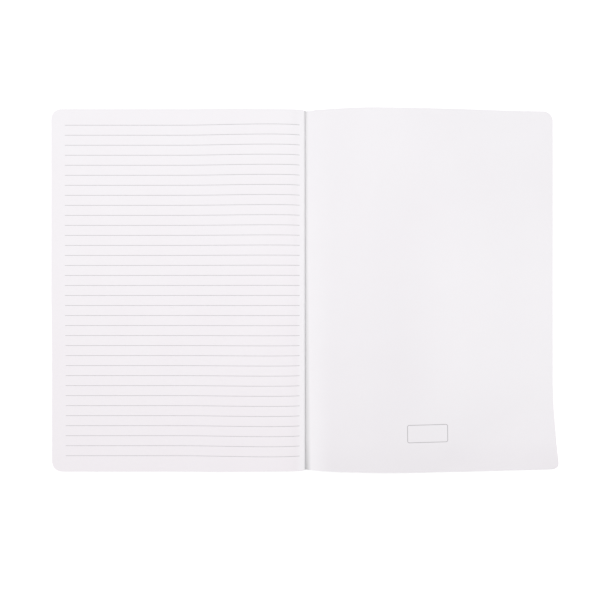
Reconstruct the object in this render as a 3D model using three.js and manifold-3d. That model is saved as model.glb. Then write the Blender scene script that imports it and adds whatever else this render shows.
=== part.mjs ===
// A soft-cover exercise notebook, stapled through the fold and open at its inside back cover.
// The whole block of leaves lies on the left, and the back cover lies arched on the right.
// Millimetres, +Z up, +Y towards the head of the page, fold line along Y.

import * as THREE from "three";
import { mergeVertices } from "three/addons/utils/BufferGeometryUtils.js";
import Module from "manifold-3d";

const wasm = await Module();
wasm.setup();

// Driving dimensions: format
const pageHeight = 297;
const coverWidth = 210; // from the fold line to the fore edge of the front cover
const backCoverReach = 204.4; // the same on the right, drawn in because the card is arched
const cornerRadius = 8;
const coverThickness = 0.3;

// Driving dimensions: sheets of paper, nested in one section
const sheetCount = 24;
const paperThickness = 0.09;
const leafPitch = 0.154; // one leaf and the air under it
const leafSetback = 0.2; // fore edge of the lowest leaf behind that of the cover
const leafStagger = 0.04; // each leaf lies this much further back than the one below it

// Driving dimensions: shape of the open block beside the fold
const noseDepth = 4.05; // how far the rounded folds reach back from the fold line
const noseShoulderRise = 4.3; // the shoulder of the outermost fold above the fold line
const noseShoulderSlope = 0.6;
const foldOpening = 0.5; // half the opening left inside the innermost fold by the wire
const openingLength = 18; // over which that opening closes again
const humpRise = 8.9; // crest of the top leaf above the fold line
const humpCrest = 33; // distance of that crest from the fold line
const humpLength = 104; // distance over which the block comes down to its flat part
const humpShare = 0.5; // how much of the hump the middle of the block takes up

// Driving dimensions: card cover
const seatGap = 0.02; // between the cover and the leaf that lies on it
const panelGap = 0.3; // between two stretches of card or paper that turn on each other
const spineWidth = 6; // distance of the front score line from the fold line
const creaseRise = 1.3; // crease of the back cover above the fold line
const creaseClearance = 0.45; // between the top of the spine strip and the crease
const creaseOffset = 0.2; // the crease stands this far out from the fold line
const creaseStripWidth = 8; // from the fold line to the first bend of the back cover
const creaseStripRise = 1.1; // how much the crease strip climbs on that way
const archBendAt = 50; // distance of the second bend from the fold line
const curlFrom = 100; // where the curl line leaves the tail edge, from the fold line
const curlUpTo = 75; // where it reaches the fore edge, below the middle of the page
const curlRadius = 84;
const curlFlare = 1.9; // how much less the corner is drawn in than the rest of the fore edge
const curlGap = 0.7; // between the curled corner and the rest of the card
const curlPointTrim = 3.4; // the thin end of the corner stops this far along the tail edge

// The back cover's inside face: distance from the fold line, height above the table.
const backCoverOutline = [
  [18, 8.2],
  [30, 10.9],
  [42, 13.1],
  [56, 14.3],
  [85, 12.3],
  [120, 8.6],
  [155, 4.1],
  [180, 1.5],
];
const backCoverEdgeRise = 0.15; // outer face of the fore edge above the table

// Driving dimensions: last leaf, which turns over to the right
const leafHingeAt = 4.4; // its bend beside the fold line
const leafBendAt = 60; // its second bend

// Driving dimensions: wire staples
const wireDiameter = 0.55;
const wireSides = 8;
const wireBendRadius = 0.5;
const stapleCrown = 13;
const stapleFromMiddle = 74;
const clenchLength = 4.5;
const legClearance = 0.1; // round a leg, in its slot through the folds
const crownClearance = 0.06; // between the crown and the spine

// Facets
const noseSteps = 4;
const humpSteps = 10;
const cornerSteps = 4;
const archSteps = 14;
const curlColumns = 12;
const curlRows = 7;

// Heights and places that follow from them
const halfHeight = pageHeight / 2;
const blockHalf = sheetCount * leafPitch;
const foldHeight = coverThickness + seatGap + blockHalf;
const lowest = foldHeight - blockHalf;
const flatTop = foldHeight + blockHalf;
const creaseX = creaseOffset;
const creaseZ = foldHeight + creaseRise;
const outerFoldFace = seatGap + coverThickness;

// Height of a smooth line through points of an outline, at a distance x along it.
function heightOn(outline, x) {
  const last = outline.length - 1;
  const slopeAt = (i) => {
    const before = outline[Math.max(i - 1, 0)];
    const after = outline[Math.min(i + 1, last)];
    return (after[1] - before[1]) / (after[0] - before[0]);
  };
  let i = 0;
  while (i < last - 1 && x > outline[i + 1][0]) i += 1;
  const [x0, z0] = outline[i];
  const [x1, z1] = outline[i + 1];
  const span = x1 - x0;
  const t = (x - x0) / span;
  const startShare = 2 * t ** 3 - 3 * t ** 2 + 1;
  const startPull = t ** 3 - 2 * t ** 2 + t;
  const endPull = t ** 3 - t ** 2;
  return (
    startShare * z0 + (1 - startShare) * z1 + span * (startPull * slopeAt(i) + endPull * slopeAt(i + 1))
  );
}

const ease = (from, to, x) => THREE.MathUtils.smoothstep(x, from, to);

// Top face of the block beside the fold, as distance from the fold line and height.
const shoulderZ = foldHeight + noseShoulderRise;
const crestZ = foldHeight + humpRise;
const footFrom = noseDepth + humpLength;
const humpOutline = [
  [noseDepth - 1, shoulderZ - noseShoulderSlope],
  [noseDepth, shoulderZ],
  [humpCrest * 0.36, THREE.MathUtils.lerp(shoulderZ, crestZ, 0.66)],
  [humpCrest * 0.64, THREE.MathUtils.lerp(shoulderZ, crestZ, 0.93)],
  [humpCrest, crestZ],
  [THREE.MathUtils.lerp(humpCrest, footFrom, 0.25), THREE.MathUtils.lerp(flatTop, crestZ, 0.8)],
  [THREE.MathUtils.lerp(humpCrest, footFrom, 0.55), THREE.MathUtils.lerp(flatTop, crestZ, 0.37)],
  [THREE.MathUtils.lerp(humpCrest, footFrom, 0.8), THREE.MathUtils.lerp(flatTop, crestZ, 0.07)],
  [footFrom, flatTop],
  [coverWidth, flatTop],
];
const blockTopAt = (distance) => heightOn(humpOutline, distance);

// Middle of the block, and the opening that the wire keeps in its innermost fold.
function blockMiddleAt(distance) {
  const rise = ease(noseDepth, humpCrest, distance) - ease(humpCrest, footFrom, distance);
  return foldHeight + humpShare * (crestZ - flatTop) * rise;
}
const openingAt = (distance) =>
  foldOpening * (1 - ease(noseDepth, noseDepth + openingLength, distance));

// Outermost fold seen from the tail, as two quarter bends that meet on the fold line.
const foldBelow = new THREE.CubicBezierCurve(
  new THREE.Vector2(noseDepth, lowest),
  new THREE.Vector2(noseDepth * 0.45, lowest),
  new THREE.Vector2(0, foldHeight - blockHalf * 0.55),
  new THREE.Vector2(0, foldHeight),
);
const foldAbove = new THREE.CubicBezierCurve(
  new THREE.Vector2(0, foldHeight),
  new THREE.Vector2(0, foldHeight + noseShoulderRise * 0.5),
  new THREE.Vector2(noseDepth * 0.5, shoulderZ - noseDepth * 0.5 * noseShoulderSlope),
  new THREE.Vector2(noseDepth, shoulderZ),
);

// One place on a sheet. Share runs from 0 at the middle of the block to 1 at its outside.
function besideFold(distance, share, above) {
  const middle = blockMiddleAt(distance);
  const inner = above ? middle + openingAt(distance) : middle - openingAt(distance);
  const outer = above ? blockTopAt(distance) : lowest;
  return { x: -distance, z: THREE.MathUtils.lerp(inner, outer, share) };
}

function roundFold(step, share, above) {
  const t = step / noseSteps;
  const outer = above ? foldAbove.getPoint(t) : foldBelow.getPoint(t);
  const angle = (Math.PI / 2) * (above ? t : t - 1);
  const innerDistance = noseDepth - foldOpening * Math.cos(angle);
  const innerZ = foldHeight + foldOpening * Math.sin(angle);
  return {
    x: -THREE.MathUtils.lerp(innerDistance, outer.x, share),
    z: THREE.MathUtils.lerp(innerZ, outer.y, share),
  };
}

// Distances of the stations beside the fold, close together where the paper bends most.
const humpStations = Array.from(
  { length: humpSteps },
  (_, k) => noseDepth + humpLength * ((k + 1) / humpSteps) ** 1.6,
);

// Distance and half height of each station on the way into a rounded fore-edge corner.
const cornerStations = (foreEdge) =>
  Array.from({ length: cornerSteps + 1 }, (_, k) => {
    const angle = (Math.PI / 2) * (k / cornerSteps);
    return {
      distance: foreEdge - cornerRadius * (1 - Math.sin(angle)),
      half: halfHeight - cornerRadius * (1 - Math.cos(angle)),
    };
  });

// The stations of one leaf from beside the fold out to its fore edge.
function leafStations(foreEdge, share, above) {
  const stations = humpStations.map((distance) => ({
    ...besideFold(distance, share, above),
    low: -halfHeight,
    high: halfHeight,
  }));
  for (const { distance, half } of cornerStations(foreEdge)) {
    stations.push({ ...besideFold(distance, share, above), low: -half, high: half });
  }
  return stations;
}

function foldStations(share, above) {
  return Array.from({ length: noseSteps + 1 }, (_, step) => ({
    ...roundFold(step, share, above),
    low: -halfHeight,
    high: halfHeight,
  }));
}

// A thin sheet that follows stations. Its faces lie between two distances from the line of
// the stations, counted to the right of the way along it.
function ribbon(stations, nearSide, farSide) {
  const position = [];
  stations.forEach((station, k) => {
    const before = stations[Math.max(k - 1, 0)];
    const after = stations[Math.min(k + 1, stations.length - 1)];
    const length = Math.hypot(after.x - before.x, after.z - before.z);
    const rightX = (after.z - before.z) / length;
    const rightZ = (before.x - after.x) / length;
    for (const [side, y] of [
      [nearSide, station.low],
      [nearSide, station.high],
      [farSide, station.high],
      [farSide, station.low],
    ]) {
      position.push(station.x + side * rightX, y, station.z + side * rightZ);
    }
  });
  const index = [];
  const quad = (a, b, c, d) => index.push(a, b, c, a, c, d);
  for (let k = 0; k < stations.length - 1; k += 1) {
    for (let j = 0; j < 4; j += 1) {
      const next = (j + 1) % 4;
      quad(4 * k + j, 4 * k + 4 + j, 4 * k + 4 + next, 4 * k + next);
    }
  }
  const end = 4 * (stations.length - 1);
  quad(0, 1, 2, 3);
  quad(end, end + 3, end + 2, end + 1);
  const geometry = new THREE.BufferGeometry();
  geometry.setAttribute("position", new THREE.Float32BufferAttribute(position, 3));
  geometry.setIndex(index);
  return geometry;
}

// Cuts with closed solids
function toSolid(geometry) {
  const bare = geometry.clone();
  bare.deleteAttribute("normal");
  bare.deleteAttribute("uv");
  const merged = mergeVertices(bare, 1e-4);
  return new wasm.Manifold(
    new wasm.Mesh({
      numProp: 3,
      vertProperties: new Float32Array(merged.attributes.position.array),
      triVerts: new Uint32Array(merged.index.array),
    }),
  );
}

function toGeometry(solid) {
  const mesh = solid.getMesh();
  const geometry = new THREE.BufferGeometry();
  geometry.setAttribute("position", new THREE.BufferAttribute(new Float32Array(mesh.vertProperties), 3));
  geometry.setIndex(new THREE.BufferAttribute(new Uint32Array(mesh.triVerts), 1));
  return geometry;
}

// The slots that the staple legs pierce through every fold and through the spine
const crownX = outerFoldFace + crownClearance + wireDiameter / 2;
const stapleMiddles = [-stapleFromMiddle, stapleFromMiddle];
const legPlaces = stapleMiddles.flatMap((middle) => [middle - stapleCrown / 2, middle + stapleCrown / 2]);

function pierced(geometry) {
  const size = wireDiameter + 2 * legClearance;
  const length = noseDepth + crownX;
  let solid = toSolid(geometry);
  for (const y of legPlaces) {
    const slot = new THREE.BoxGeometry(length, size, size);
    slot.translate(crownX - length / 2, y, foldHeight);
    solid = solid.subtract(toSolid(slot));
  }
  return toGeometry(solid);
}

// Finishes
const paper = new THREE.MeshStandardMaterial({ color: 0xf3f1f4, roughness: 0.88, metalness: 0 });
const coverCard = new THREE.MeshStandardMaterial({ color: 0xf1eff2, roughness: 0.7, metalness: 0 });
const wire = new THREE.MeshStandardMaterial({ color: 0xb9bcc0, roughness: 0.35, metalness: 1 });

const notebook = new THREE.Group();

function addPiece(name, geometry, material) {
  const finished = geometry.toNonIndexed();
  finished.computeVertexNormals();
  const mesh = new THREE.Mesh(finished, material);
  mesh.name = name;
  notebook.add(mesh);
  return mesh;
}

// Sheets. Leaf 1 lies lowest, on the front cover, and the last leaf lies on top.
const shareOf = (sheet) => (sheetCount - sheet + 0.5) / sheetCount;
const foreEdgeOf = (leaf) => coverWidth - leafSetback - (leaf - 1) * leafStagger;
const lastLeaf = 2 * sheetCount;
const halfPaper = paperThickness / 2;
const sheetName = (sheet) => `sheet_${String(sheet).padStart(2, "0")}`;

function foldedSheet(sheet) {
  const share = shareOf(sheet);
  const stations = [
    ...leafStations(foreEdgeOf(sheet), share, false).reverse(),
    ...foldStations(share, false),
    ...foldStations(share, true).slice(1),
    ...leafStations(foreEdgeOf(lastLeaf + 1 - sheet), share, true),
  ];
  return pierced(ribbon(stations, -halfPaper, halfPaper));
}

// The outermost sheet: its front leaf and fold are one piece, and its back leaf turns.
function outerSheet() {
  const share = shareOf(1);
  const hingeEnd = besideFold(leafHingeAt - panelGap / 2, share, true);
  const stations = [
    ...leafStations(foreEdgeOf(1), share, false).reverse(),
    ...foldStations(share, false),
    ...foldStations(share, true).slice(1),
    { ...hingeEnd, low: -halfHeight, high: halfHeight },
  ];
  return pierced(ribbon(stations, -halfPaper, halfPaper));
}

function lastLeafStretch(from, to) {
  const share = shareOf(1);
  const all = leafStations(foreEdgeOf(lastLeaf), share, true);
  const edge = (distance) => ({
    ...besideFold(distance, share, true),
    low: -halfHeight,
    high: halfHeight,
  });
  const between = all.filter(({ x }) => -x > from + panelGap && -x < to - panelGap);
  const stations = [edge(from + panelGap / 2), ...between];
  if (to < foreEdgeOf(lastLeaf)) stations.push(edge(to - panelGap / 2));
  else stations.push(all[all.length - 1]);
  return ribbon(stations, -halfPaper, halfPaper);
}

addPiece(sheetName(1), outerSheet(), paper);
for (let sheet = 2; sheet <= sheetCount; sheet += 1) {
  addPiece(sheetName(sheet), foldedSheet(sheet), paper);
}
addPiece("last_leaf_inner", lastLeafStretch(leafHingeAt, leafBendAt), paper);
addPiece("last_leaf_outer", lastLeafStretch(leafBendAt, foreEdgeOf(lastLeaf)), paper);

// Front cover, flat on the table from its score line to its fore edge
function frontCover() {
  const stations = [{ x: -spineWidth - panelGap / 2, z: 0, low: -halfHeight, high: halfHeight }];
  for (const { distance, half } of cornerStations(coverWidth)) {
    stations.push({ x: -distance, z: 0, low: -half, high: half });
  }
  return ribbon(stations, 0, coverThickness);
}

addPiece("front_cover", frontCover(), coverCard);

// Spine strip, from the score line round the folds to just under the crease
function spineStrip() {
  const full = { low: -halfHeight, high: halfHeight };
  const stations = [
    { x: -spineWidth + panelGap / 2, z: lowest, ...full },
    ...foldStations(1, false),
    { x: 0, z: creaseZ - creaseClearance, ...full },
  ];
  return pierced(ribbon(stations, seatGap, outerFoldFace));
}

addPiece("cover_spine", spineStrip(), coverCard);

// Back cover: three stretches of one arched card
const backCoverLine = [
  [creaseX, creaseZ],
  [creaseStripWidth, creaseZ + creaseStripRise],
  ...backCoverOutline,
  [backCoverReach, backCoverEdgeRise + coverThickness],
];
const backCoverTopAt = (x) => heightOn(backCoverLine, x);

// The curl line runs across the card from its tail edge to its fore edge.
const curlRun = backCoverReach - curlFrom;
const curlClimb = halfHeight - curlUpTo;
const curlLength = Math.hypot(curlRun, curlClimb);
const curlLineAt = (x) => -halfHeight + ((x - curlFrom) * curlClimb) / curlRun;
const curlGapAlongY = (curlGap * curlLength) / curlRun;
const curlDepth = (curlRun * curlClimb) / curlLength; // from the curl line to the corner

function backCoverStretch(from, to) {
  const stations = [];
  const foreEdge = to >= backCoverReach;
  const straightTo = foreEdge ? to - cornerRadius : to - panelGap / 2;
  const steps = Math.max(2, Math.ceil(((to - from) / backCoverReach) * archSteps));
  const lowAt = (x) => Math.max(-halfHeight, curlLineAt(x) + curlGapAlongY);
  for (let k = 0; k <= steps; k += 1) {
    const x = THREE.MathUtils.lerp(from + panelGap / 2, straightTo, k / steps);
    stations.push({ x, z: backCoverTopAt(x), low: lowAt(x), high: halfHeight });
  }
  if (foreEdge) {
    for (const { distance, half } of cornerStations(backCoverReach).slice(1)) {
      stations.push({ x: distance, z: backCoverTopAt(distance), low: lowAt(distance), high: half });
    }
  }
  return ribbon(stations, 0, coverThickness);
}

addPiece("back_cover_crease", backCoverStretch(creaseX, creaseStripWidth), coverCard);
addPiece("back_cover_inner", backCoverStretch(creaseStripWidth, archBendAt), coverCard);
addPiece("back_cover_outer", backCoverStretch(archBendAt, backCoverReach), coverCard);

// The corner that curls up, bent as part of a cylinder along the curl line
const acrossCurlX = curlClimb / curlLength;
const acrossCurlY = -curlRun / curlLength;

function onCurl(x, y, depth) {
  const across = Math.max((x - curlFrom) * acrossCurlX + (y + halfHeight) * acrossCurlY, 0);
  const bend = across / curlRadius;
  const pulled = curlRadius * Math.sin(bend) - across;
  const lean = depth * Math.sin(bend);
  const flare = curlFlare * (across / curlDepth) ** 2;
  return [
    x + (pulled + lean) * acrossCurlX + flare,
    y + (pulled + lean) * acrossCurlY,
    backCoverTopAt(x) + curlRadius * (1 - Math.cos(bend)) - depth * Math.cos(bend),
  ];
}

function curledCorner() {
  const position = [];
  const index = [];
  const cornerStart = backCoverReach - cornerRadius;
  const straightColumns = curlColumns - cornerSteps;
  const firstX = curlFrom + curlPointTrim;
  for (const depth of [0, coverThickness]) {
    for (let column = 0; column <= curlColumns; column += 1) {
      let x = THREE.MathUtils.lerp(firstX, cornerStart, column / straightColumns);
      let tail = -halfHeight;
      if (column > straightColumns) {
        const angle = ((Math.PI / 2) * (column - straightColumns)) / cornerSteps;
        x = backCoverReach - cornerRadius * (1 - Math.sin(angle));
        tail = -halfHeight + cornerRadius * (1 - Math.cos(angle));
      }
      for (let row = 0; row <= curlRows; row += 1) {
        const y = THREE.MathUtils.lerp(tail, curlLineAt(x) - curlGapAlongY / 3, row / curlRows);
        position.push(...onCurl(x, y, depth));
      }
    }
  }
  const rowLength = curlRows + 1;
  const under = (curlColumns + 1) * rowLength;
  const quad = (a, b, c, d) => index.push(a, b, c, a, c, d);
  const wall = (a, b) => quad(b, a, a + under, b + under);
  for (let column = 0; column < curlColumns; column += 1) {
    for (let row = 0; row < curlRows; row += 1) {
      const a = column * rowLength + row;
      quad(a, a + rowLength, a + rowLength + 1, a + 1);
      quad(a + under, a + 1 + under, a + rowLength + 1 + under, a + rowLength + under);
    }
    wall(column * rowLength, (column + 1) * rowLength);
    wall((column + 1) * rowLength + curlRows, column * rowLength + curlRows);
  }
  for (let row = 0; row < curlRows; row += 1) {
    wall(row + 1, row);
    wall(curlColumns * rowLength + row, curlColumns * rowLength + row + 1);
  }
  const geometry = new THREE.BufferGeometry();
  geometry.setAttribute("position", new THREE.Float32BufferAttribute(position, 3));
  geometry.setIndex(index);
  return geometry;
}

addPiece("back_cover_corner", curledCorner(), coverCard);

// Staples: a crown outside on the spine and two legs clenched in the middle of the section
function stapleLine(middle) {
  const half = stapleCrown / 2;
  const corners = [
    [-noseDepth, half - clenchLength],
    [-noseDepth, half],
    [crownX, half],
    [crownX, -half],
    [-noseDepth, -half],
    [-noseDepth, clenchLength - half],
  ].map(([x, y]) => new THREE.Vector2(x, middle + y));
  const line = [corners[0]];
  for (let k = 1; k < corners.length - 1; k += 1) {
    const back = corners[k - 1].clone().sub(corners[k]).setLength(wireBendRadius);
    const on = corners[k + 1].clone().sub(corners[k]).setLength(wireBendRadius);
    const bend = new THREE.QuadraticBezierCurve(
      corners[k].clone().add(back),
      corners[k],
      corners[k].clone().add(on),
    );
    line.push(...bend.getPoints(3));
  }
  line.push(corners[corners.length - 1]);
  return line;
}

function staple(middle) {
  const line = stapleLine(middle);
  const position = [];
  const index = [];
  line.forEach((point, k) => {
    const before = line[Math.max(k - 1, 0)];
    const after = line[Math.min(k + 1, line.length - 1)];
    const along = after.clone().sub(before).normalize();
    for (let side = 0; side < wireSides; side += 1) {
      const angle = (2 * Math.PI * side) / wireSides;
      const out = (wireDiameter / 2) * Math.cos(angle);
      const up = (wireDiameter / 2) * Math.sin(angle);
      position.push(point.x + out * along.y, point.y - out * along.x, foldHeight + up);
    }
  });
  const end = line.length - 1;
  for (let k = 0; k < end; k += 1) {
    for (let side = 0; side < wireSides; side += 1) {
      const a = k * wireSides + side;
      const b = k * wireSides + ((side + 1) % wireSides);
      index.push(a, b + wireSides, b, a, a + wireSides, b + wireSides);
    }
  }
  for (let side = 1; side < wireSides - 1; side += 1) {
    index.push(0, side, side + 1);
    index.push(end * wireSides, end * wireSides + side + 1, end * wireSides + side);
  }
  const geometry = new THREE.BufferGeometry();
  geometry.setAttribute("position", new THREE.Float32BufferAttribute(position, 3));
  geometry.setIndex(index);
  return geometry;
}

addPiece("staple_tail", staple(stapleMiddles[0]), wire);
addPiece("staple_head", staple(stapleMiddles[1]), wire);

// The origin is the middle of the open notebook's footprint, on the table.
const footprint = new THREE.Box3().setFromObject(notebook);
const centre = footprint.getCenter(new THREE.Vector3());
for (const piece of notebook.children) {
  piece.position.set(-centre.x, -centre.y, -footprint.min.z);
}

export default notebook;
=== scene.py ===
import bpy
import math
import random
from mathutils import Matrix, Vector, noise


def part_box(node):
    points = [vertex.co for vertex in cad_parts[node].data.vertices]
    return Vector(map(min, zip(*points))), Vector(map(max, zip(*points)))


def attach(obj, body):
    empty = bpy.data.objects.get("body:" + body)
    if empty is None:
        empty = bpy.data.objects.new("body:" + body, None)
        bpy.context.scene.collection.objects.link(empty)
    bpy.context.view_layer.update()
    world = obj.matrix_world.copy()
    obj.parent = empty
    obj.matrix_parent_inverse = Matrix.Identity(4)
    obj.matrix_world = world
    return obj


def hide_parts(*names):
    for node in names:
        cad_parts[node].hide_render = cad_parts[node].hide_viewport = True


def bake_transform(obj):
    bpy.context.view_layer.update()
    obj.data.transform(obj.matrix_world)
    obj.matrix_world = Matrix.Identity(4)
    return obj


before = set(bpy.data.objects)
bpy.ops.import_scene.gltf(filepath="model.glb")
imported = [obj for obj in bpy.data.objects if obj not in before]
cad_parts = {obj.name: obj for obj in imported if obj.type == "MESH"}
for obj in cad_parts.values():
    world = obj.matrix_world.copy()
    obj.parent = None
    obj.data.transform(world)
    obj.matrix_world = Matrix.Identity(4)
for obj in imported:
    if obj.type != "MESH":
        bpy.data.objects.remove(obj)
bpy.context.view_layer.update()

mm = 0.001

# Format of the notebook and the shape of its open block, as the frame was built
book = {
    "pageHeight": 297 * mm,
    "coverWidth": 210 * mm,
    "backCoverReach": 204.4 * mm,
    "cornerRadius": 8 * mm,
    "card": 0.3 * mm,
    "sheetCount": 24,
    "paper": 0.09 * mm,
    "leafPitch": 0.154 * mm,
    "leafSetback": 0.2 * mm,
    "leafStagger": 0.04 * mm,
    "seatGap": 0.02 * mm,
}
fold = {
    "noseDepth": 4.05 * mm,
    "noseRound": (0.45, 0.55),
    "shoulderRise": 4.3 * mm,
    "shoulderSlope": 0.6,
    "shoulderRound": 0.5,
    "runIn": 1 * mm,
    "opening": 0.5 * mm,
    "openingLength": 18 * mm,
    "humpRise": 8.9 * mm,
    "humpCrest": 33 * mm,
    "humpLength": 104 * mm,
    "humpShare": 0.5,
    "humpClimb": [(0.36, 0.66), (0.64, 0.93)],  # how far along to the crest, and how far up
    "humpFall": [(0.25, 0.8), (0.55, 0.37), (0.8, 0.07)],
}

halfHeight = book["pageHeight"] / 2
halfPaper = book["paper"] / 2
blockHalf = book["sheetCount"] * book["leafPitch"]
foldHeight = book["card"] + book["seatGap"] + blockHalf
lowest = foldHeight - blockHalf
flatTop = foldHeight + blockHalf
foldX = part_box("front_cover")[0][0] + book["coverWidth"]  # the fold line in the frame


def mix(a, b, t):
    return a + (b - a) * t


def ease(low, high, x):
    t = min(max((x - low) / (high - low), 0), 1)
    return t * t * (3 - 2 * t)


# Smooth line through the points of an outline
def heightOn(outline, x):
    last = len(outline) - 1

    def slopeAt(i):
        before = outline[max(i - 1, 0)]
        after = outline[min(i + 1, last)]
        return (after[1] - before[1]) / (after[0] - before[0])

    i = 0
    while i < last - 1 and x > outline[i + 1][0]:
        i += 1
    x0, z0 = outline[i]
    x1, z1 = outline[i + 1]
    span = x1 - x0
    t = (x - x0) / span
    startShare = 2 * t**3 - 3 * t**2 + 1
    pull = (t**3 - 2 * t**2 + t) * slopeAt(i) + (t**3 - t**2) * slopeAt(i + 1)
    return startShare * z0 + (1 - startShare) * z1 + span * pull


def bezier(points, t):
    s = 1 - t
    return points[0] * s**3 + points[1] * 3 * s * s * t + points[2] * 3 * s * t * t + points[3] * t**3


# Top of the block beside the fold
nose = fold["noseDepth"]
shoulderZ = foldHeight + fold["shoulderRise"]
crestZ = foldHeight + fold["humpRise"]
crest = fold["humpCrest"]
foot = nose + fold["humpLength"]
humpOutline = [
    (nose - fold["runIn"], shoulderZ - fold["runIn"] * fold["shoulderSlope"]),
    (nose, shoulderZ),
    *[(crest * along, mix(shoulderZ, crestZ, up)) for along, up in fold["humpClimb"]],
    (crest, crestZ),
    *[(mix(crest, foot, along), mix(flatTop, crestZ, up)) for along, up in fold["humpFall"]],
    (foot, flatTop),
    (book["coverWidth"], flatTop),
]
foldBelow = [
    Vector((nose, lowest)),
    Vector((nose * fold["noseRound"][0], lowest)),
    Vector((0, foldHeight - blockHalf * fold["noseRound"][1])),
    Vector((0, foldHeight)),
]
shoulderRun = nose * fold["shoulderRound"]
foldAbove = [
    Vector((0, foldHeight)),
    Vector((0, foldHeight + fold["shoulderRise"] * fold["shoulderRound"])),
    Vector((shoulderRun, shoulderZ - shoulderRun * fold["shoulderSlope"])),
    Vector((nose, shoulderZ)),
]


def blockMiddleAt(distance):
    rise = ease(nose, crest, distance) - ease(crest, foot, distance)
    return foldHeight + fold["humpShare"] * (crestZ - flatTop) * rise


def besideFold(distance, share, above):
    middle = blockMiddleAt(distance)
    gap = fold["opening"] * (1 - ease(nose, nose + fold["openingLength"], distance))
    inner = middle + gap if above else middle - gap
    outer = heightOn(humpOutline, distance) if above else lowest
    return -distance, mix(inner, outer, share)


def roundFold(t, share, above):
    outer = bezier(foldAbove if above else foldBelow, t)
    angle = math.pi / 2 * (t if above else t - 1)
    innerDistance = nose - fold["opening"] * math.cos(angle)
    innerZ = foldHeight + fold["opening"] * math.sin(angle)
    return -mix(innerDistance, outer.x, share), mix(innerZ, outer.y, share)


# The knife drew the block in a little at both ends, most of all where the fold is thick
trim = {
    "block": [
        (0.0, 1.25 * mm),
        (1.2 * mm, 1.15 * mm),
        (2.4 * mm, 0.6 * mm),
        (6 * mm, 0.75 * mm),
        (20 * mm, 1.1 * mm),
        (45 * mm, 0.85 * mm),
        (70 * mm, 0.22 * mm),
        (92 * mm, 0.0),
        (110 * mm, 0.0),
        (book["coverWidth"], 0.0),
    ],
    "backCover": [
        (0.0, 1.35 * mm),
        (2 * mm, 1.15 * mm),
        (5 * mm, 1.05 * mm),
        (7.5 * mm, 0.42 * mm),
        (12 * mm, 0.28 * mm),
        (30 * mm, 0.0),
        (140 * mm, 0.0),
        (175 * mm, 0.22 * mm),
        (book["coverWidth"], 0.25 * mm),
    ],
    "backCoverTail": [  # what the tail end has lost besides
        (0.0, 0.0),
        (18 * mm, 0.0),
        (34 * mm, 0.3 * mm),
        (58 * mm, 0.28 * mm),
        (85 * mm, 0.0),
        (125 * mm, 0.0),
        (158 * mm, 0.12 * mm),
        (188 * mm, 0.0),
        (book["coverWidth"], 0.0),
    ],
}


def trimAt(part, distance):
    return max(heightOn(trim[part], min(abs(distance), book["coverWidth"])), 0.0)


# Places along a leaf, close together where the paper bends and in the rounded corners
leafSteps = {
    "besideFold": 0.7 * mm,
    "further": 3.2 * mm,
    "easedOver": 60 * mm,
    "addedOnFlat": 5 * mm,
    "inCorner": 8,
}


def leafDistances(foreEdge, coarse):
    places = []
    distance = nose
    cornerStart = foreEdge - book["cornerRadius"]
    while distance < cornerStart:
        growth = ease(0, leafSteps["easedOver"], distance)
        distance += mix(leafSteps["besideFold"], leafSteps["further"], growth) * coarse
        if distance > foot:
            distance += leafSteps["addedOnFlat"] * coarse
        places.append(min(distance, cornerStart))
    return places


def cornerPlaces(foreEdge, steps):
    radius = book["cornerRadius"]
    angles = [math.pi / 2 * (k + 1) / steps for k in range(steps)]
    return [(foreEdge - radius * (1 - math.sin(a)), radius * (1 - math.cos(a))) for a in angles]


sharpFrom = {"sheet": math.radians(50), "wire": math.radians(45)}  # edges that stay crisp


def gridNormals(grid):
    normals = []
    for i, column in enumerate(grid):
        row = []
        for j in range(len(column)):
            along = grid[min(i + 1, len(grid) - 1)][j][0] - grid[max(i - 1, 0)][j][0]
            across = column[min(j + 1, len(column) - 1)][0] - column[max(j - 1, 0)][0]
            row.append(along.cross(across).normalized())
        normals.append(row)
    return normals


def newPiece(name, mesh, sharp):
    mesh.shade_smooth()
    mesh.set_sharp_from_angle(angle=sharp)
    piece = bpy.data.objects.new(name, mesh)
    bpy.context.scene.collection.objects.link(piece)
    return piece


# One thin sheet from a grid of places: (point, distance from the fold, how far along the page).
# The near face lies nearDepth and the far face farDepth under the grid, along its own normals.
def thinSheet(name, grid, nearDepth, farDepth, normals=None):
    normals = normals or gridNormals(grid)
    columns, rows = len(grid), len(grid[0])
    under = columns * rows
    points, places = [], []
    for depth, side in ((nearDepth, 1.0), (farDepth, -1.0)):
        for i in range(columns):
            for j in range(rows):
                point, distance, along = grid[i][j]
                points.append(point - normals[i][j] * depth + Vector((foldX, 0, 0)))
                places.append((distance, along, side))
    faces = []
    for i in range(columns - 1):
        for j in range(rows - 1):
            a = i * rows + j
            faces.append((a, a + rows, a + rows + 1, a + 1))
            faces.append((a + under, a + 1 + under, a + rows + 1 + under, a + rows + under))
    rim = [i * rows for i in range(columns)]
    rim += [(columns - 1) * rows + j for j in range(1, rows)]
    rim += [i * rows + rows - 1 for i in range(columns - 2, -1, -1)]
    rim += [j for j in range(rows - 2, 0, -1)]
    for k, a in enumerate(rim):
        b = rim[(k + 1) % len(rim)]
        faces.append((b, a, a + under, b + under))
    mesh = bpy.data.meshes.new(name)
    mesh.from_pydata(points, [], faces)
    place = mesh.attributes.new("pagePlace", "FLOAT_VECTOR", "POINT")
    place.data.foreach_set("vector", [value for triple in places for value in triple])
    mesh.validate()
    return newPiece(name, mesh, sharpFrom["sheet"])


# Shader wiring
def newMaterial(name):
    material = bpy.data.materials.new(name)
    material.use_nodes = True
    material.node_tree.nodes.clear()
    return material, material.node_tree


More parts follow.
